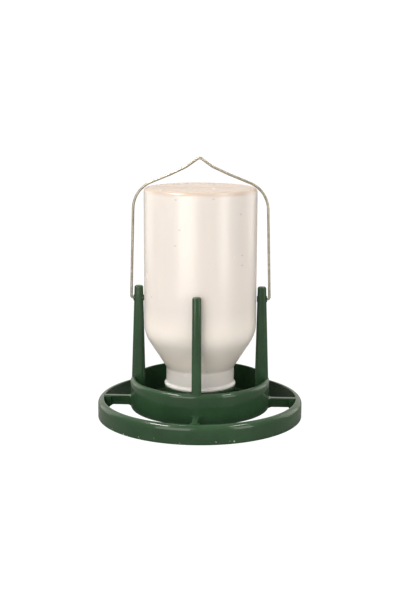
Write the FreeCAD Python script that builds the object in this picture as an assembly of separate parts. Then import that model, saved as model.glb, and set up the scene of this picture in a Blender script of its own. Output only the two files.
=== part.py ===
"""Gravity feeder for poultry and cage birds, in millimetres, +Z up.

A round green tray stands clear of the ground on four arms that run out to a low perch ring.
Four posts rise from the tray and hold an inverted bottle, whose mouth hangs over a spreader
cone. A wire bail swings in the two side posts, keeps the bottle down and hangs the feeder up.
The origin is on the ground, on the feeder's upright axis. The bail's axis is along X.
"""
import FreeCAD, Part
import math
import os
from FreeCAD import Vector

# Perch ring: a moulding with a crowned top, hollow from below.
RING_OUTER_R = 100.0
RING_INNER_R = 94.0
RING_HEIGHT = 18.0
RING_CROWN_R = 5.2
RING_OUTER_WALL = 2.0
RING_INNER_WALL = 1.8
RING_CHANNEL_TOP = 12.5

# Tray.
TRAY_R = 68.0
TRAY_RIM_WIDTH = 4.5
TRAY_RIM_R = 3.7
TRAY_TOP = 38.0
TRAY_UNDERSIDE = 8.2
TRAY_FLOOR = 11.2
TRAY_FOOT_R = 2.5
TRAY_INSIDE_DRAFT = 0.5

# Arms between the tray and the ring, and the sockets that hold their tips.
ARM_WIDTH = 5.0
ARM_UNDERSIDE = 9.0
ARM_TOP = RING_HEIGHT
ARM_FLANGE = 2.0
ARM_WEB = 3.2
ARM_ROOT_WIDTH = 12.0
ARM_ROOT_R = 3.0
SOCKET_LENGTH = 6.8
SOCKET_WIDTH = 8.6
SOCKET_TOP = ARM_TOP - 0.8
SOCKET_UNDERSIDE = ARM_UNDERSIDE - 0.4
SNAP_PIN_R = 1.5
SNAP_PIN_PROUD = 0.4
SNAP_PIN_HEIGHT = 14.4

# Posts, which lean in towards the bottle and taper.
POST_TOP = 128.5
POST_INNER_FOOT = 53.3
POST_INNER_TOP = 55.5
POST_OUTER_FOOT = 67.9
POST_OUTER_TOP = 63.75
POST_WIDTH_FOOT = 9.2
POST_WIDTH_TOP = 8.4
POST_EDGE_R = 3.4
POST_CROWN_R = 1.8

# Spreader cone, mouth seat and its ribs, all inside the tray.
CONE_FOOT_R = 25.0
CONE_TIP_R = 3.0
CONE_TOP = 31.2
SEAT_INNER_R = 30.5
SEAT_OUTER_R = 34.5
SEAT_UNDERSIDE = 27.0
SEAT_TOP = 31.0
SEAT_SHED_R = 1.2
RIB_THICKNESS = 2.4
RIB_INNER_R = 20.0

# Bottle, standing on its mouth.
BOTTLE_R = 54.2
BOTTLE_TOP = 224.0
BOTTLE_EDGE_R = 4.5
BOTTLE_WALL = 1.3
BOTTLE_SHOULDER_Z = 82.5
BOTTLE_SHOULDER_R = 32.0
BOTTLE_NECK_R = 32.9
BOTTLE_NECK_Z = 49.2
BOTTLE_NECK_BEND_R = 5.0
BOTTLE_LIP_R = 34.7
BOTTLE_LIP_HEIGHT = 1.9
BOTTLE_LIP_FLARE = 2.2
BOTTLE_MOUTH = SEAT_TOP + 0.1
BOTTLE_BASE_DISH = 2.0
BOTTLE_BASE_RIM = 7.0

# Wire bail, from its tip in the post to its peak.
WIRE_R = 1.25
PIVOT_Z = 116.3
PIVOT_CLEARANCE = 0.08
BOSS_R = 3.0
BOSS_PROUD_INSIDE = 0.5
BOSS_PROUD_OUTSIDE = 0.6
BAIL_TIP_X = 54.9
BAIL_LEG_X = 67.0
BAIL_HEEL_R = 2.2
BAIL_SHOULDER = (64.1, 221.6)
BAIL_SHOULDER_R = 28.0
BAIL_SLOPE = (28.0, 236.2)
BAIL_SLOPE_R = 60.0
BAIL_NECK = (12.5, 243.4)
BAIL_NECK_R = 12.0
BAIL_PEAK_Z = 252.4
BAIL_PEAK_R = 4.0
BAIL_PEAK_LEAN = -1.0

QUARTERS = {"right": 0, "rear": 90, "left": 180, "front": 270}
ORIGIN = Vector(0, 0, 0)
UP = Vector(0, 0, 1)
OUTWARD = Vector(1, 0, 0)
SIDEWAYS = Vector(0, 1, 0)


def corner_arc(before, corner, after, radius):
    """Start, middle and end of the arc that rounds a corner."""
    to_before = (before - corner).normalize()
    to_after = (after - corner).normalize()
    half_angle = to_before.getAngle(to_after) / 2
    to_centre = (to_before + to_after).normalize()
    setback = radius / math.tan(half_angle)
    depth = radius / math.sin(half_angle) - radius
    return corner + to_before * setback, corner + to_centre * depth, corner + to_after * setback


def rounded_wire(corners, closed=True):
    """Wire through (point, corner radius) rows, of straight runs joined by tangent arcs."""
    edges = []
    last = None
    first = None
    for index, (point, radius) in enumerate(corners):
        at_end = not closed and index in (0, len(corners) - 1)
        if at_end or not radius:
            start, end = point, point
        else:
            before = corners[index - 1][0]
            after = corners[(index + 1) % len(corners)][0]
            start, middle, end = corner_arc(before, point, after, radius)
        if last is not None:
            edges.append(Part.LineSegment(last, start).toShape())
        if start is not end:
            edges.append(Part.Arc(start, middle, end).toShape())
        first = first or start
        last = end
    if closed:
        edges.append(Part.LineSegment(last, first).toShape())
    return Part.Wire(edges)


def turned(rows):
    """Solid of revolution about the upright axis, from (radius, height, corner radius) rows."""
    corners = [(Vector(radius, 0, height), rounding) for radius, height, rounding in rows]
    return Part.Face(rounded_wire(corners)).revolve(ORIGIN, UP, 360)


def block(x_range, width, z_range):
    """Box centred on the X axis."""
    size = (x_range[1] - x_range[0], width, z_range[1] - z_range[0])
    return Part.makeBox(*size, Vector(x_range[0], -width / 2, z_range[0]))


def rod(radius, start, length, direction):
    """Round bar from a point along a direction."""
    return Part.makeCylinder(radius, length, start, direction)


def turned_to(shape, degrees):
    """Copy of a shape, turned about the upright axis."""
    copy = shape.copy()
    copy.rotate(ORIGIN, UP, degrees)
    return copy


def make_ring():
    outer_channel = RING_OUTER_R - RING_OUTER_WALL
    inner_channel = RING_INNER_R + RING_INNER_WALL
    return turned([
        (RING_INNER_R, 0, 0),
        (RING_INNER_R, RING_HEIGHT, 0.7),
        (RING_OUTER_R, RING_HEIGHT, RING_CROWN_R),
        (RING_OUTER_R, 0, 0.4),
        (outer_channel, 0, 0.4),
        (outer_channel, RING_CHANNEL_TOP, 0.8),
        (inner_channel, RING_CHANNEL_TOP, 0.8),
        (inner_channel, 0, 0),
    ])


def make_tray():
    inner_r = TRAY_R - TRAY_RIM_WIDTH
    return turned([
        (0, TRAY_UNDERSIDE, 0),
        (TRAY_R, TRAY_UNDERSIDE, TRAY_FOOT_R),
        (TRAY_R, TRAY_TOP, TRAY_RIM_R),
        (inner_r, TRAY_TOP, 0.7),
        (inner_r - TRAY_INSIDE_DRAFT, TRAY_FLOOR, TRAY_FOOT_R),
        (0, TRAY_FLOOR, 0),
    ])


def make_arm(tray, ring_bore):
    """Flanged arm along +X, flared at the tray, with a plain tongue and a snap pin at its tip."""
    inside_tray = TRAY_R - 2
    inside_ring = RING_INNER_R + 1
    tongue = RING_INNER_R - SOCKET_LENGTH
    top_flange = (ARM_TOP - ARM_FLANGE, ARM_TOP)
    bottom_flange = (ARM_UNDERSIDE, ARM_UNDERSIDE + ARM_FLANGE)
    arm = block((inside_tray, inside_ring), ARM_WEB, (ARM_UNDERSIDE, ARM_TOP))
    arm = arm.fuse(block((inside_tray, inside_ring), ARM_WIDTH, top_flange))
    arm = arm.fuse(block((inside_tray, inside_ring), ARM_WIDTH - 0.4, bottom_flange))
    arm = arm.fuse(block((tongue, inside_ring), ARM_WIDTH, (ARM_UNDERSIDE, ARM_TOP)))
    root_half = ARM_ROOT_WIDTH / 2
    arm_half = ARM_WIDTH / 2
    corner_x = TRAY_R + 1.6
    end_x = corner_x + 2 * ARM_ROOT_R
    plan = [(inside_tray, root_half, 0), (TRAY_R + 0.2, root_half, 0), (corner_x, arm_half, ARM_ROOT_R),
            (end_x, arm_half, 0), (end_x, -arm_half, 0), (corner_x, -arm_half, ARM_ROOT_R),
            (TRAY_R + 0.2, -root_half, 0), (inside_tray, -root_half, 0)]
    outline = rounded_wire([(Vector(x, y, ARM_UNDERSIDE), r) for x, y, r in plan])
    arm = arm.fuse(Part.Face(outline).extrude(UP * (ARM_TOP - ARM_UNDERSIDE)))
    pin_length = SOCKET_WIDTH + 2 * SNAP_PIN_PROUD
    pin_start = Vector(tongue + SOCKET_LENGTH / 2, -pin_length / 2, SNAP_PIN_HEIGHT)
    arm = arm.fuse(rod(SNAP_PIN_R, pin_start, pin_length, SIDEWAYS))
    return arm.removeSplitter().cut(tray).common(ring_bore)


def make_socket(arm, ring_bore):
    """Open-topped socket on the ring's inner wall, round an arm's tongue."""
    tongue = RING_INNER_R - SOCKET_LENGTH
    socket = block((tongue, RING_INNER_R + 1), SOCKET_WIDTH, (SOCKET_UNDERSIDE, SOCKET_TOP))
    rounded = [edge for edge in socket.Edges if edge.BoundBox.XMax < tongue + 0.01]
    return socket.makeFillet(1.0, rounded).cut(arm).common(ring_bore)


def post_section(height, inner, outer, width):
    """Rounded rectangle across a post at one height."""
    half = width / 2
    corners = [(inner, -half), (outer, -half), (outer, half), (inner, half)]
    return rounded_wire([(Vector(x, y, height), POST_EDGE_R) for x, y in corners])


def make_post(tray):
    """Tapered post at +X, with its foot on the tray's floor and against its wall."""
    foot = post_section(TRAY_FLOOR, POST_INNER_FOOT, POST_OUTER_FOOT, POST_WIDTH_FOOT)
    head = post_section(POST_TOP, POST_INNER_TOP, POST_OUTER_TOP, POST_WIDTH_TOP)
    post = Part.makeLoft([foot, head], True, True)
    crown = [edge for edge in post.Edges if edge.BoundBox.ZMin > POST_TOP - 0.01]
    return post.makeFillet(POST_CROWN_R, crown).cut(tray)


def post_face_x(foot_x, top_x, height):
    """How far out a sloping post face is at one height."""
    share = (height - TRAY_FLOOR) / (POST_TOP - TRAY_FLOOR)
    return foot_x + (top_x - foot_x) * share


def bored_for_bail(post):
    """Post with a boss and a running hole for the bail's tip."""
    inside = post_face_x(POST_INNER_FOOT, POST_INNER_TOP, PIVOT_Z) - BOSS_PROUD_INSIDE
    outside = post_face_x(POST_OUTER_FOOT, POST_OUTER_TOP, PIVOT_Z) + BOSS_PROUD_OUTSIDE
    length = outside - inside
    boss = rod(BOSS_R, Vector(inside, 0, PIVOT_Z), length, OUTWARD)
    boss = boss.makeFillet(0.3, [edge for edge in boss.Edges if edge.BoundBox.XLength < 0.01])
    hole = rod(WIRE_R + PIVOT_CLEARANCE, Vector(inside - 1, 0, PIVOT_Z), length + 2, OUTWARD)
    return post.fuse(boss).cut(hole).removeSplitter()


def make_cone():
    return turned([
        (0, TRAY_FLOOR, 0),
        (CONE_FOOT_R, TRAY_FLOOR, 0),
        (CONE_FOOT_R, TRAY_FLOOR + 1.5, 0.6),
        (CONE_TIP_R, CONE_TOP, 2.0),
        (0, CONE_TOP, 0),
    ])


def make_seat():
    return turned([
        (SEAT_INNER_R, SEAT_UNDERSIDE, 0.5),
        (SEAT_OUTER_R, SEAT_UNDERSIDE, 0.5),
        (SEAT_OUTER_R, SEAT_TOP, SEAT_SHED_R),
        (SEAT_INNER_R, SEAT_TOP, 0.8),
    ])


def make_rib(cone, seat):
    """Upright web under the mouth seat, along +X."""
    rib = block((RIB_INNER_R, SEAT_OUTER_R - 0.8), RIB_THICKNESS, (TRAY_FLOOR, SEAT_UNDERSIDE + 0.2))
    return rib.cut(cone).cut(seat)


def make_bottle():
    """Hollow bottle of revolution: the outside from the mouth up, then the inside back down."""
    wall = BOTTLE_WALL
    dished = BOTTLE_TOP - BOTTLE_BASE_DISH
    rim_r = BOTTLE_R - BOTTLE_BASE_RIM
    lip_top = BOTTLE_MOUTH + BOTTLE_LIP_HEIGHT
    neck_inner = BOTTLE_NECK_R - wall
    inner_r = BOTTLE_R - wall
    inner_edge_r = BOTTLE_EDGE_R - wall
    return turned([
        (neck_inner, BOTTLE_MOUTH, 0),
        (BOTTLE_LIP_R, BOTTLE_MOUTH, 0.8),
        (BOTTLE_LIP_R, lip_top, 0.8),
        (BOTTLE_NECK_R, lip_top + BOTTLE_LIP_FLARE, 3.0),
        (BOTTLE_NECK_R, BOTTLE_NECK_Z, BOTTLE_NECK_BEND_R),
        (BOTTLE_R, BOTTLE_SHOULDER_Z, BOTTLE_SHOULDER_R),
        (BOTTLE_R, BOTTLE_TOP, BOTTLE_EDGE_R),
        (rim_r, BOTTLE_TOP, 1.5),
        (rim_r - 2 * BOTTLE_BASE_DISH, dished, 3.0),
        (0, dished, 0),
        (0, dished - wall, 0),
        (rim_r - 2 * BOTTLE_BASE_DISH, dished - wall, 2.0),
        (rim_r, BOTTLE_TOP - wall, 1.5),
        (inner_r, BOTTLE_TOP - wall, inner_edge_r),
        (inner_r, BOTTLE_SHOULDER_Z + 0.3 * wall, BOTTLE_SHOULDER_R - wall),
        (neck_inner, BOTTLE_NECK_Z + 0.3 * wall, BOTTLE_NECK_BEND_R + wall),
    ])


def make_bail():
    """Round wire along straight runs and tangent arcs, its hand-bent peak a little off the middle."""
    half = [(BAIL_TIP_X, 0, PIVOT_Z, 0), (BAIL_LEG_X, 0, PIVOT_Z, BAIL_HEEL_R),
            (BAIL_SHOULDER[0], 0, BAIL_SHOULDER[1], BAIL_SHOULDER_R),
            (BAIL_SLOPE[0], BAIL_PEAK_LEAN / 2, BAIL_SLOPE[1], BAIL_SLOPE_R),
            (BAIL_NECK[0], BAIL_PEAK_LEAN, BAIL_NECK[1], BAIL_NECK_R)]
    right = [(Vector(lean + x, 0, z), radius) for x, lean, z, radius in half]
    left = [(Vector(lean - x, 0, z), radius) for x, lean, z, radius in reversed(half)]
    peak = [(Vector(BAIL_PEAK_LEAN, 0, BAIL_PEAK_Z), BAIL_PEAK_R)]
    path = rounded_wire(right + peak + left, closed=False)
    section = Part.Wire(Part.makeCircle(WIRE_R, right[0][0], OUTWARD))
    return path.makePipeShell([section], True, False)


def main():
    ring = make_ring()
    tray = make_tray()
    ring_bore = rod(RING_INNER_R, ORIGIN, RING_HEIGHT, UP)
    arm = make_arm(tray, ring_bore)
    socket = make_socket(arm, ring_bore)
    post = make_post(tray)
    side_post = bored_for_bail(post)
    cone = make_cone()
    seat = make_seat()
    rib = make_rib(cone, seat)

    parts = {"perch_ring": ring, "tray_dish": tray, "feed_cone": cone, "mouth_seat": seat,
             "bottle": make_bottle(), "bail_wire": make_bail()}
    for side, degrees in QUARTERS.items():
        parts["arm_" + side] = turned_to(arm, degrees)
        parts["ring_socket_" + side] = turned_to(socket, degrees)
        at_side = side in ("left", "right")
        parts["post_" + side] = turned_to(side_post if at_side else post, degrees)
        parts["seat_rib_" + side] = turned_to(rib, degrees + 45)

    os.makedirs("parts", exist_ok=True)
    for node, shape in sorted(parts.items()):
        solid = shape.Solids[0] if len(shape.Solids) == 1 else shape
        solid.exportStep("parts/" + node + ".step")
        print(node, "solids", len(shape.Solids), "valid", shape.isValid(), "volume", round(shape.Volume, 1))


main()
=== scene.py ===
"""The looks of the gravity poultry feeder: materials, finished pieces, stage, lights and camera.

Everything is in metres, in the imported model's own frame: +Z up, the feeder standing on z = 0,
its axis on the Z axis, the front post towards -Y and the right-hand post towards +X.
"""
import math

import bmesh
import bpy
from mathutils import Matrix, Vector


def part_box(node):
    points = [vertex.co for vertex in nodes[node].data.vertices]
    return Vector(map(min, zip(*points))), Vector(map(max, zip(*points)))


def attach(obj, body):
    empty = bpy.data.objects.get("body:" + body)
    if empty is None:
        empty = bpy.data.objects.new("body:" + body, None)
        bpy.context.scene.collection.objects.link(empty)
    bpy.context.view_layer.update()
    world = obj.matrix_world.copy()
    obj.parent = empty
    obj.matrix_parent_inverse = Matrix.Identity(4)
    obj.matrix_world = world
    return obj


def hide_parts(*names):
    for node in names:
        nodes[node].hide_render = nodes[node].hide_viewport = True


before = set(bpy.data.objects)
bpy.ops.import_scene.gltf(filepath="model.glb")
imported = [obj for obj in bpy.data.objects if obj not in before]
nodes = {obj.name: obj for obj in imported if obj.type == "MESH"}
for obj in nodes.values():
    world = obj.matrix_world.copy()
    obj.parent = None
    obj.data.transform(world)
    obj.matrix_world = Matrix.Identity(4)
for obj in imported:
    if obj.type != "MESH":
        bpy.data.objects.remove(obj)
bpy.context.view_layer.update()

MM = 0.001

# The green moulding: tray, arms, sockets, perch ring, posts, cone, ribs and mouth seat
GREEN_DEEP = (0.0155, 0.047, 0.0195, 1)
GREEN_LIGHT = (0.022, 0.062, 0.0265, 1)
GREEN_NICK = (0.40, 0.38, 0.27, 1)
GREEN_ROUGHNESS = (0.42, 0.52)
GREEN_GLOSS = 0.6
GREEN_GLOSS_ROUGHNESS = 0.09
GREEN_SPECULAR = 0.12
GREEN_FLOW_SCALE = 28
GREEN_POLISH_SCALE = 55
GREEN_WAVE_SCALE = 75
GREEN_WAVE_DEPTH = 0.22 * MM
GREEN_PEEL_SCALE = 700
GREEN_PEEL_DEPTH = 0.012 * MM

# Pale nicks along the lowest edge: how high they reach, their noise and the part of it that shows
NICK_HEIGHT = (0.0015, 0.0048)
NICK_SCALE = 260
NICK_FLECK = (0.655, 0.69)

# The bottle's outside, from the mouth up: heights and radii that its box doesn't give
NECK_R = 32.9 * MM
NECK_TOP = 49.2 * MM
NECK_BEND_R = 5.0 * MM
LIP_HEIGHT = 1.9 * MM
LIP_FLARE = 2.2 * MM
LIP_BEND_R = 3.0 * MM
LIP_PROUD = 1.8 * MM
LIP_EDGE_R = 0.8 * MM
SHOULDER_Z = 82.5 * MM
SHOULDER_R = 32.0 * MM
END_EDGE_R = 4.5 * MM
END_RIM = 7.0 * MM
END_DISH = 0.8 * MM
END_RIM_R = 1.5 * MM
DISH_R_OUTSIDE = 3.0 * MM
DISH_R_INSIDE = 2.0 * MM
BOTTLE_WALL = 1.3 * MM
BOTTLE_TURNS = 180

# The perch ring's section, an upside-down channel, and the tray's: what their boxes don't give
RING_WIDTH = 6.0 * MM
RING_CROWN_R = 5.2 * MM
RING_WALL = 1.9 * MM
RING_CHANNEL_TOP = 12.5 * MM
TRAY_RIM_WIDTH = 4.5 * MM
TRAY_RIM_R = 3.7 * MM
TRAY_FLOOR = 11.2 * MM
TRAY_FOOT_R = 2.5 * MM
TRAY_DRAFT = 0.5 * MM
TOP_EDGE_R = 0.7 * MM
FOOT_EDGE_R = 0.4 * MM
CHANNEL_EDGE_R = 0.8 * MM
GREEN_TURNS = 300
GREEN_UNEVEN_DEPTH = 0.04 * MM

# How finely a turned outline is divided
ARC_STEP = math.radians(7)
RUN_STEP = 5 * MM

# The bottle's blow-moulded surface: two parting seams in the plane y = 0, and slightly uneven walls
SEAM_HEIGHT = 0.16 * MM
SEAM_HALF_WIDTH = 0.38 * MM
SEAM_ANGLES = (0.0018, 0.0045, 0.009, 0.018)
UNEVEN_DEPTH = 0.11 * MM

# The bottle's plastic: natural polyethylene. Its rows are heights and the colours given there, which paint
# light and shade into the colour:
# a greyer, shaded neck, a painted peach glow where light gathers in the wall at the cone, and a darker,
# warmer end
BOTTLE_PAINTED_LIGHT = (
    (0.030, (0.74, 0.72, 0.71, 1)),
    (0.042, (0.80, 0.755, 0.73, 1)),
    (0.060, (0.99, 0.86, 0.76, 1)),
    (0.080, (0.97, 0.86, 0.79, 1)),
    (0.115, (0.78, 0.705, 0.675, 1)),
    (0.2185, (0.77, 0.70, 0.67, 1)),
    (0.2225, (0.52, 0.425, 0.37, 1)),
)
# The heights over which the bottle's painted light and shade run
PAINTED_LIGHT_FROM = 0.0
PAINTED_LIGHT_TO = 0.25
BOTTLE_SPECK = (0.34, 0.30, 0.26, 1)
SPECK_CELL = 20 * MM
SPECK_RADIUS = (0.01, 0.055)
SPECK_DEPTH = 0.42
SPECK_CHANCE = (0.70, 0.72)
BOTTLE_ROUGHNESS = (0.20, 0.28)
BOTTLE_POLISH_SCALE = 40
BOTTLE_SPECULAR = 0.7
BOTTLE_SCATTER = 0.5
SCATTER_RADIUS = (1.0, 0.85, 0.7)
SCATTER_SCALE = 0.004
DRAW_LINES_AROUND = 14
DRAW_LINES_UP = 9
DRAW_LINE_DEPTH = 0.12 * MM
BOTTLE_PEEL_SCALE = 350
BOTTLE_PEEL_DEPTH = 0.015 * MM

# The bail: galvanised wire, with a dull, slightly mottled zinc coat
ZINC_BRIGHT = (0.44, 0.41, 0.34, 1)
ZINC_DULL = (0.30, 0.275, 0.22, 1)
ZINC_ROUGHNESS = (0.30, 0.48)
ZINC_MOTTLE_SCALE = 260
ZINC_POLISH_SCALE = 500
ZINC_GRAIN_SCALE = 1300
ZINC_GRAIN_DEPTH = 0.03 * MM

# Camera: a long lens just right of the front post, a little above the bottle's end
CAMERA_AZIMUTH = math.radians(3.0)
CAMERA_DISTANCE = 1.1014
CAMERA_HEIGHT = 0.3282
CAMERA_AIM = (0.0003, 0.1141)
CAMERA_ROLL = math.radians(-0.20)
CAMERA_LENS = 69.3
CAMERA_SENSOR = 36

# Stage: the camera sees the floor as plain white, and everything else sees a dimmer one
FLOOR_HALF = 6.0
FLOOR_DROP = 0.0002
FLOOR_WHITE = 0.30
FLOOR_ROUGHNESS = 0.9
FLOOR_SPECULAR = 0.1
PAPER_GLOW = 1.05

# Softboxes: azimuth and elevation in degrees, distance, width and height (m), radiance
SOFTBOXES = {
    "key_high": (-74, 60, 1.10, 0.52, 0.12, 42.0),
    "key_low": (-24, 12, 0.70, 0.46, 0.60, 3.7),
    "fill_high": (76, 60, 1.10, 0.36, 0.10, 26.0),
    "fill_low": (50, 12, 0.80, 0.30, 0.60, 3.9),
    "rim_left": (-122, 14, 0.90, 0.50, 0.70, 1.0),
    "rim_right": (122, 14, 0.90, 0.50, 0.70, 1.4),
}
LIGHT_AIM = Vector((0, 0, 0.10))
SKY_COLOUR = (1.0, 0.965, 0.89, 1)
LIGHT_COLOUR = (1.0, 0.965, 0.90)
ROOM_GLOW = 0.40
BACKDROP_GLOW = 0.95
BACKDROP_REACH = (0.15, 0.75)


# ---------------------------------------------------------------- materials

def new_material(name):
    """A material, its node tree and its Principled shader."""
    material = bpy.data.materials.new(name)
    material.use_nodes = True
    tree = material.node_tree
    return material, tree, tree.nodes["Principled BSDF"]


def add(tree, kind, settings=None, **inputs):
    """One node: settings are its properties, and inputs its sockets by name, each a value or an output."""
    node = tree.nodes.new("ShaderNode" + kind)
    for key, value in (settings or {}).items():
        setattr(node, key, value)
    for key, value in inputs.items():
        socket = node.inputs[key.replace("_", " ")]
        if isinstance(value, bpy.types.NodeSocket):
            tree.links.new(value, socket)
        else:
            socket.default_value = value
    return node


def object_point(tree):
    """The point on the surface, in metres, in the feeder's own frame."""
    return add(tree, "TexCoord").outputs["Object"]


def math_node(tree, operation, first, second=0.0):
    """The result of one Math node."""
    node = add(tree, "Math", {"operation": operation})
    for socket, value in zip(node.inputs, (first, second)):
        if isinstance(value, bpy.types.NodeSocket):
            tree.links.new(value, socket)
        else:
            socket.default_value = value
    return node.outputs[0]


def unrolled_point(tree, around_scale, up_scale):
    """The point's scaled azimuth as X and its scaled height as Z, so that a texture runs round the axis."""
    parts = add(tree, "SeparateXYZ", Vector=object_point(tree)).outputs
    azimuth = math_node(tree, "ARCTAN2", parts["Y"], parts["X"])
    return add(
        tree, "CombineXYZ",
        X=math_node(tree, "MULTIPLY", azimuth, around_scale),
        Z=math_node(tree, "MULTIPLY", parts["Z"], up_scale),
    ).outputs[0]


def noise(tree, point, scale, detail=3.0, roughness=0.55):
    """Soft noise from about 0 to 1."""
    node = add(tree, "TexNoise", Vector=point, Scale=scale, Detail=detail, Roughness=roughness)
    return node.outputs["Fac"]


def spread(tree, value, low, high, to_low=0.0, to_high=1.0):
    """value taken from the range low..high to the range to_low..to_high, and held there."""
    node = add(tree, "MapRange", Value=value, From_Min=low, From_Max=high, To_Min=to_low, To_Max=to_high)
    return node.outputs["Result"]


def mixed(tree, factor, first, second):
    """Two colours mixed by factor."""
    node = tree.nodes.new("ShaderNodeMix")
    node.data_type = "RGBA"
    for index, value in ((0, factor), (6, first), (7, second)):
        if isinstance(value, bpy.types.NodeSocket):
            tree.links.new(value, node.inputs[index])
        else:
            node.inputs[index].default_value = value
    return node.outputs[2]


def bumped(tree, height, distance, strength=1.0, normal=None):
    """The normal of a surface raised by height (0 to 1) times distance."""
    node = add(tree, "Bump", Height=height, Distance=distance, Strength=strength)
    if normal is not None:
        tree.links.new(normal, node.inputs["Normal"])
    return node.outputs["Normal"]


def green_plastic():
    """Moulded polypropylene: deep green, a thin gloss, flow marks, a light peel and worn nicks."""
    material, tree, shader = new_material("green_moulded_plastic")
    point = object_point(tree)
    flow = spread(tree, noise(tree, point, GREEN_FLOW_SCALE, 4), 0.35, 0.65)
    colour = mixed(tree, flow, GREEN_DEEP, GREEN_LIGHT)
    height = add(tree, "SeparateXYZ", Vector=point).outputs["Z"]
    near_ground = spread(tree, height, *NICK_HEIGHT, 1.0, 0.0)
    fleck = spread(tree, noise(tree, point, NICK_SCALE, 2), *NICK_FLECK)
    nick = math_node(tree, "MULTIPLY", near_ground, fleck)
    tree.links.new(mixed(tree, nick, colour, GREEN_NICK), shader.inputs["Base Color"])
    polish = spread(tree, noise(tree, point, GREEN_POLISH_SCALE, 4, 0.6), 0.3, 0.7, *GREEN_ROUGHNESS)
    tree.links.new(polish, shader.inputs["Roughness"])
    shader.inputs["Specular IOR Level"].default_value = GREEN_SPECULAR
    shader.inputs["Coat Weight"].default_value = GREEN_GLOSS
    shader.inputs["Coat Roughness"].default_value = GREEN_GLOSS_ROUGHNESS
    wave = bumped(tree, noise(tree, point, GREEN_WAVE_SCALE, 2), GREEN_WAVE_DEPTH)
    peel = bumped(tree, noise(tree, point, GREEN_PEEL_SCALE, 2), GREEN_PEEL_DEPTH, 1.0, wave)
    tree.links.new(peel, shader.inputs["Normal"])
    tree.links.new(peel, shader.inputs["Coat Normal"])
    return material


def painted_light_by_height(tree, height, shades):
    """A colour that changes smoothly through (height, colour) rows: here the bottle's light and shade,
    painted by height.
    """
    ramp = tree.nodes.new("ShaderNodeValToRGB")
    ramp.color_ramp.interpolation = "EASE"
    stops = ramp.color_ramp.elements
    while len(stops) < len(shades):
        stops.new(0.5)
    for stop, (level, colour) in zip(stops, shades):
        stop.position = (level - PAINTED_LIGHT_FROM) / (PAINTED_LIGHT_TO - PAINTED_LIGHT_FROM)
        stop.color = colour
    tree.links.new(spread(tree, height, PAINTED_LIGHT_FROM, PAINTED_LIGHT_TO), ramp.inputs["Fac"])
    return ramp.outputs["Color"]


def specks(tree):
    """A few dark specks moulded into the bottle's wall, one in each of some cells of its unrolled surface."""
    unrolled = unrolled_point(tree, NECK_R / SPECK_CELL, 1 / SPECK_CELL)
    parts = add(tree, "SeparateXYZ", Vector=unrolled).outputs
    flat = add(tree, "CombineXYZ", X=parts["X"], Y=parts["Z"]).outputs[0]
    cells = add(tree, "TexVoronoi", {"voronoi_dimensions": "2D"}, Vector=flat, Scale=1.0)
    middle = spread(tree, cells.outputs["Distance"], *SPECK_RADIUS, SPECK_DEPTH, 0.0)
    chance = add(tree, "SeparateColor", Color=cells.outputs["Color"]).outputs["Red"]
    return math_node(tree, "MULTIPLY", middle, spread(tree, chance, *SPECK_CHANCE))


def bottle_plastic():
    """Blow-moulded natural polyethylene: milky, with faint upright draw lines, a few specks, and light and
    shade painted into its colour by height.
    """
    material, tree, shader = new_material("milky_bottle_plastic")
    point = object_point(tree)
    height = add(tree, "SeparateXYZ", Vector=point).outputs["Z"]
    # Painted light and shade: a greyer neck, a peach glow at the cone and a darker end, set by height
    colour = painted_light_by_height(tree, height, BOTTLE_PAINTED_LIGHT)
    colour = mixed(tree, specks(tree), colour, BOTTLE_SPECK)
    tree.links.new(colour, shader.inputs["Base Color"])
    polish = spread(tree, noise(tree, point, BOTTLE_POLISH_SCALE, 4), 0.3, 0.7, *BOTTLE_ROUGHNESS)
    tree.links.new(polish, shader.inputs["Roughness"])
    shader.inputs["Specular IOR Level"].default_value = BOTTLE_SPECULAR
    shader.inputs["Subsurface Weight"].default_value = BOTTLE_SCATTER
    shader.inputs["Subsurface Radius"].default_value = SCATTER_RADIUS
    shader.inputs["Subsurface Scale"].default_value = SCATTER_SCALE
    lines = noise(tree, unrolled_point(tree, DRAW_LINES_AROUND, DRAW_LINES_UP), 4.0, 3)
    drawn = bumped(tree, lines, DRAW_LINE_DEPTH, 0.8)
    peel = bumped(tree, noise(tree, point, BOTTLE_PEEL_SCALE, 2), BOTTLE_PEEL_DEPTH, 1.0, drawn)
    tree.links.new(peel, shader.inputs["Normal"])
    return material


def galvanised_wire():
    """Galvanised steel wire: a dull zinc coat in small mottles, with a fine grain."""
    material, tree, shader = new_material("galvanised_wire")
    point = object_point(tree)
    mottle = spread(tree, noise(tree, point, ZINC_MOTTLE_SCALE, 4, 0.65), 0.35, 0.65)
    tree.links.new(mixed(tree, mottle, ZINC_DULL, ZINC_BRIGHT), shader.inputs["Base Color"])
    shader.inputs["Metallic"].default_value = 1.0
    polish = spread(tree, noise(tree, point, ZINC_POLISH_SCALE, 3), 0.3, 0.7, *ZINC_ROUGHNESS)
    tree.links.new(polish, shader.inputs["Roughness"])
    grain = bumped(tree, noise(tree, point, ZINC_GRAIN_SCALE, 3), ZINC_GRAIN_DEPTH)
    tree.links.new(grain, shader.inputs["Normal"])
    return material


def wear(piece, material):
    """piece shows one material all over."""
    piece.data.materials.clear()
    piece.data.materials.append(material)


def dress_cad_nodes(green):
    """The CAD pieces' materials: the wire its own, all the rest the green plastic."""
    for name, piece in nodes.items():
        wear(piece, galvanised_wire() if name == "bail_wire" else green)


# ---------------------------------------------------------------- turned pieces

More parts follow.
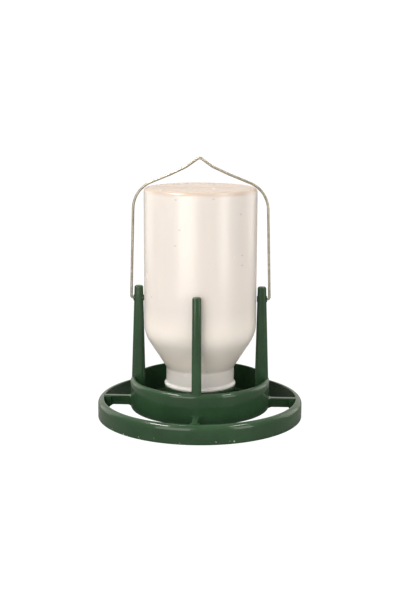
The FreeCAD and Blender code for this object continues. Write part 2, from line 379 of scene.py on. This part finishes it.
def rounded_corner(before, corner, after, radius):
    """Points of the arc that rounds one corner of an outline."""
    to_before = (before - corner).normalized()
    to_after = (after - corner).normalized()
    half_angle = to_before.angle(to_after) / 2
    centre = corner + (to_before + to_after).normalized() * radius / math.sin(half_angle)
    start = corner + to_before * radius / math.tan(half_angle)
    sweep = (start - centre).angle_signed(corner + to_after * radius / math.tan(half_angle) - centre)
    count = max(2, math.ceil(abs(sweep) / ARC_STEP))
    turns = [Matrix.Rotation(-sweep * index / count, 2) for index in range(count + 1)]
    return [centre + turn @ (start - centre) for turn in turns]


def rounded_outline(rows):
    """Closely spaced points along straight runs and arcs, from (radius, height, corner radius) rows."""
    corners = [Vector((radius, height)) for radius, height, _ in rows]
    points = [corners[0]]
    for index in range(1, len(rows)):
        rounding = rows[index][2]
        if rounding:
            arc = rounded_corner(corners[index - 1], corners[index], corners[index + 1], rounding)
        else:
            arc = [corners[index]]
        run = arc[0] - points[-1]
        steps = max(1, math.ceil(run.length / RUN_STEP))
        points += [points[-1] + run * step / steps for step in range(1, steps)]
        points += arc
    return points


def bottle_outline():
    """The bottle's section: outside from the mouth up to the middle of its end, then inside back down."""
    low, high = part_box("bottle")
    body, mouth, end = high.x, low.z, high.z
    lip = mouth + LIP_HEIGHT
    rim = body - END_RIM
    dish_r = rim - 4 * END_DISH
    dish = end - END_DISH
    inner_neck = NECK_R - BOTTLE_WALL
    inner = body - BOTTLE_WALL
    lip_r = NECK_R + LIP_PROUD
    outside = [
        (inner_neck, mouth, 0),
        (lip_r, mouth, LIP_EDGE_R),
        (lip_r, lip, LIP_EDGE_R),
        (NECK_R, lip + LIP_FLARE, LIP_BEND_R),
        (NECK_R, NECK_TOP, NECK_BEND_R),
        (body, SHOULDER_Z, SHOULDER_R),
        (body, end, END_EDGE_R),
        (rim, end, END_RIM_R),
        (dish_r, dish, DISH_R_OUTSIDE),
        (0, dish, 0),
    ]
    inside = [
        (0, dish - BOTTLE_WALL, 0),
        (dish_r, dish - BOTTLE_WALL, DISH_R_INSIDE),
        (rim, end - BOTTLE_WALL, END_RIM_R),
        (inner, end - BOTTLE_WALL, END_EDGE_R - BOTTLE_WALL),
        (inner, SHOULDER_Z, SHOULDER_R - BOTTLE_WALL),
        (inner_neck, NECK_TOP, NECK_BEND_R + BOTTLE_WALL),
        (inner_neck, mouth, 0),
    ]
    return rounded_outline(outside), rounded_outline(inside)


def even_angles(count):
    """Evenly spaced angles round the axis."""
    return [2 * math.pi * index / count for index in range(count)]


def seam_angles():
    """Angles round the bottle, closer together at its two seams."""
    extra = [seam + side * angle for seam in (0, math.pi) for side in (-1, 1) for angle in SEAM_ANGLES]
    extra = [angle % (2 * math.pi) for angle in extra]
    return sorted(set(even_angles(BOTTLE_TURNS) + extra))


def plain(radius, angle, height):
    """The offset of a surface that nothing stands out of."""
    return 0


def uneven(radius, angle, height):
    """Long shallow waves round a moulded wall, from -1 to 1."""
    long_wave = math.sin(3 * angle + 1.1) * math.sin(38 * height)
    twist = 0.7 * math.sin(5 * angle - 0.7 + 55 * height)
    return (long_wave + twist) / 1.7 * min(1, radius / NECK_R)


def blown(radius, angle, height):
    """How far the bottle's outside stands out of its plain shape: its seams, and its uneven wall."""
    seam = SEAM_HEIGHT * math.exp(-(radius * math.sin(angle) / SEAM_HALF_WIDTH) ** 2)
    return seam + UNEVEN_DEPTH * uneven(radius, angle, height)


def moulded(radius, angle, height):
    """How far the green moulding's walls are off their plain shape."""
    return GREEN_UNEVEN_DEPTH * uneven(radius, angle, height)


def turned_surface(outline, angles, offset_at):
    """Vertices and faces of an outline turned about the axis, each point moved outwards by offset_at."""
    verts = []
    for index, point in enumerate(outline):
        ahead = outline[min(index + 1, len(outline) - 1)]
        behind = outline[max(index - 1, 0)]
        along = (ahead - behind).normalized()
        normal = Vector((along.y, -along.x))
        for angle in angles:
            offset = offset_at(point.x, angle, point.y)
            radius = max(point.x + normal.x * offset, 0)
            height = point.y + normal.y * offset
            verts.append((radius * math.cos(angle), radius * math.sin(angle), height))
    count = len(angles)
    faces = []
    for row in range(len(outline) - 1):
        for column in range(count):
            after = (column + 1) % count
            here, above = row * count, (row + 1) * count
            faces.append((here + column, here + after, above + after, above + column))
    return verts, faces


def turned_piece(name, surfaces, angles, material):
    """One object from surfaces, each an outline with the offsets that its points get."""
    verts, faces = [], []
    for outline, offset_at in surfaces:
        more_verts, more_faces = turned_surface(outline, angles, offset_at)
        first = len(verts)
        verts += more_verts
        faces += [tuple(first + corner for corner in face) for face in more_faces]
    mesh = bpy.data.meshes.new(name)
    mesh.from_pydata(verts, [], faces)
    work = bmesh.new()
    work.from_mesh(mesh)
    bmesh.ops.remove_doubles(work, verts=work.verts, dist=0.01 * MM)
    bmesh.ops.recalc_face_normals(work, faces=work.faces)
    work.to_mesh(mesh)
    work.free()
    mesh.shade_smooth()
    piece = bpy.data.objects.new(name, mesh)
    bpy.context.scene.collection.objects.link(piece)
    wear(piece, material)
    return piece


def make_bottle_shell():
    """The bottle, blow-moulded: seams on two sides and across its end, and walls that aren't quite even."""
    outside, inside = bottle_outline()
    surfaces = [(outside, blown), (inside, plain)]
    shell = turned_piece("bottle_shell", surfaces, seam_angles(), bottle_plastic())
    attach(shell, "bottle")
    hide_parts("bottle")


def ring_outline():
    """The perch ring's section: up its outer wall, over the crown, down inside, and round its channel."""
    _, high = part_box("perch_ring")
    outer, top = high.x, high.z
    inner = outer - RING_WIDTH
    middle = outer - RING_WALL / 2
    return rounded_outline([
        (middle, 0, 0),
        (outer, 0, FOOT_EDGE_R),
        (outer, top, RING_CROWN_R),
        (inner, top, TOP_EDGE_R),
        (inner, 0, FOOT_EDGE_R),
        (inner + RING_WALL, 0, FOOT_EDGE_R),
        (inner + RING_WALL, RING_CHANNEL_TOP, CHANNEL_EDGE_R),
        (outer - RING_WALL, RING_CHANNEL_TOP, CHANNEL_EDGE_R),
        (outer - RING_WALL, 0, FOOT_EDGE_R),
        (middle, 0, 0),
    ])


def tray_outline():
    """The tray's section: out under its floor, up its wall, over the rim, and back along the floor."""
    low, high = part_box("tray_dish")
    outer, underside, top = high.x, low.z, high.z
    inner = outer - TRAY_RIM_WIDTH
    return rounded_outline([
        (0, underside, 0),
        (outer, underside, TRAY_FOOT_R),
        (outer, top, TRAY_RIM_R),
        (inner, top, TOP_EDGE_R),
        (inner - TRAY_DRAFT, TRAY_FLOOR, TRAY_FOOT_R),
        (0, TRAY_FLOOR, 0),
    ])


def make_green_shells(material):
    """The perch ring and the tray, turned finely enough for clean highlights along their rims."""
    angles = even_angles(GREEN_TURNS)
    shells = (("ring_shell", "perch_ring", ring_outline()), ("tray_shell", "tray_dish", tray_outline()))
    for name, node, outline in shells:
        shell = turned_piece(name, [(outline, moulded)], angles, material)
        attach(shell, "base")
        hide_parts(node)


# ---------------------------------------------------------------- stage, lights and camera

def around(azimuth, distance, height):
    """The point at an azimuth from the front (-Y), positive to the right."""
    return Vector((math.sin(azimuth) * distance, -math.cos(azimuth) * distance, height))


def paper_white(tree, studio_look, output):
    """Plain white to the camera, whatever light falls there; reflections see studio_look instead."""
    white = add(tree, "Emission", Strength=PAPER_GLOW)
    white.inputs["Color"].default_value = (1, 1, 1, 1)
    seen = add(tree, "LightPath").outputs["Is Camera Ray"]
    both = add(tree, "MixShader", Fac=seen)
    tree.links.new(studio_look, both.inputs[1])
    tree.links.new(white.outputs["Emission"], both.inputs[2])
    tree.links.new(both.outputs["Shader"], output.inputs["Surface"])


def make_floor():
    """A wide floor, hardly below the feeder."""
    material, tree, shader = new_material("floor_white")
    shader.inputs["Base Color"].default_value = (FLOOR_WHITE, FLOOR_WHITE, FLOOR_WHITE, 1)
    shader.inputs["Roughness"].default_value = FLOOR_ROUGHNESS
    shader.inputs["Specular IOR Level"].default_value = FLOOR_SPECULAR
    paper_white(tree, shader.outputs["BSDF"], tree.nodes["Material Output"])
    mesh = bpy.data.meshes.new("floor")
    corners = [(-FLOOR_HALF, -FLOOR_HALF, 0), (FLOOR_HALF, -FLOOR_HALF, 0),
               (FLOOR_HALF, FLOOR_HALF, 0), (-FLOOR_HALF, FLOOR_HALF, 0)]
    mesh.from_pydata(corners, [], [(0, 1, 2, 3)])
    floor = bpy.data.objects.new("floor", mesh)
    floor.location.z = -FLOOR_DROP
    bpy.context.scene.collection.objects.link(floor)
    wear(floor, material)


def make_sky():
    """What lights and reflections see around: bright paper behind the feeder, a dimmer room in front."""
    world = bpy.data.worlds.new("studio")
    bpy.context.scene.world = world
    world.use_nodes = True
    tree = world.node_tree
    direction = add(tree, "TexCoord").outputs["Generated"]
    depth = add(tree, "SeparateXYZ", Vector=direction).outputs["Y"]
    strength = spread(tree, depth, *BACKDROP_REACH, ROOM_GLOW, BACKDROP_GLOW)
    studio = tree.nodes["Background"]
    studio.inputs["Color"].default_value = SKY_COLOUR
    tree.links.new(strength, studio.inputs["Strength"])
    paper_white(tree, studio.outputs["Background"], tree.nodes["World Output"])


def make_softbox(name, azimuth, elevation, distance, width, height, radiance):
    """A softbox that faces the middle of the feeder."""
    light = bpy.data.lights.new(name, "AREA")
    light.shape = "RECTANGLE"
    light.color = LIGHT_COLOUR
    light.size = width
    light.size_y = height
    light.energy = radiance * math.pi * width * height
    lamp = bpy.data.objects.new(name, light)
    bpy.context.scene.collection.objects.link(lamp)
    rise = math.radians(elevation)
    reach, climb = distance * math.cos(rise), distance * math.sin(rise)
    lamp.location = LIGHT_AIM + around(math.radians(azimuth), reach, climb)
    lamp.rotation_euler = (LIGHT_AIM - lamp.location).to_track_quat("-Z", "Y").to_euler()
    lamp.visible_camera = False


def make_camera():
    """The main view: from the front, slightly right and above, through a long lens."""
    data = bpy.data.cameras.new("camera")
    data.lens = CAMERA_LENS
    data.sensor_width = CAMERA_SENSOR
    camera = bpy.data.objects.new("camera", data)
    bpy.context.scene.collection.objects.link(camera)
    camera.location = around(CAMERA_AZIMUTH, CAMERA_DISTANCE, CAMERA_HEIGHT)
    right = Vector((math.cos(CAMERA_AZIMUTH), math.sin(CAMERA_AZIMUTH), 0))
    aim = right * CAMERA_AIM[0] + Vector((0, 0, CAMERA_AIM[1]))
    forward = (aim - camera.location).normalized()
    roll = Matrix.Rotation(CAMERA_ROLL, 4, forward).to_quaternion()
    camera.rotation_mode = "QUATERNION"
    camera.rotation_quaternion = roll @ forward.to_track_quat("-Z", "Y")
    bpy.context.scene.camera = camera


bpy.context.scene.view_settings.view_transform = "Standard"
make_camera()
make_sky()
make_floor()
for softbox, facts in SOFTBOXES.items():
    make_softbox(softbox, *facts)
green = green_plastic()
dress_cad_nodes(green)
make_green_shells(green)
make_bottle_shell()
